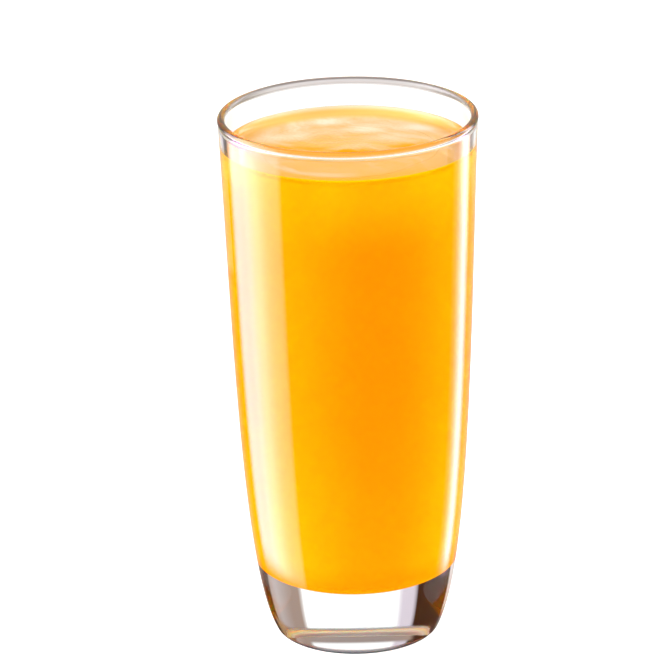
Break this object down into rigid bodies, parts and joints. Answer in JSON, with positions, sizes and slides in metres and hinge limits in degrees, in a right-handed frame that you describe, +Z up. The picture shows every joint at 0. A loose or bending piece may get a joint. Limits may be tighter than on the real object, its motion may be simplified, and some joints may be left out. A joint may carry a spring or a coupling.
{
  "type": "glass of orange juice",
  "caption": "Tall clear glass tumbler with a thick base and a rounded rim, filled almost to the rim with orange juice under a thin raft of froth.",
  "frame": {"origin": "centre of the flat ring under the foot, on the surface that the glass stands on", "axes": "+Z up along the axis of the glass; +Y away from the side that the picture shows; +X to the picture's right"},
  "size_m": [0.07, 0.07, 0.148],
  "materials": {
    "glass": "clear, polished",
    "juice": "wet, cloudy",
    "froth": "fine bubbles, damp"
  },
  "bodies": {
    "root": {"glass": "glass", "juice": "juice", "froth": "froth"}
  },
  "joints": []
}
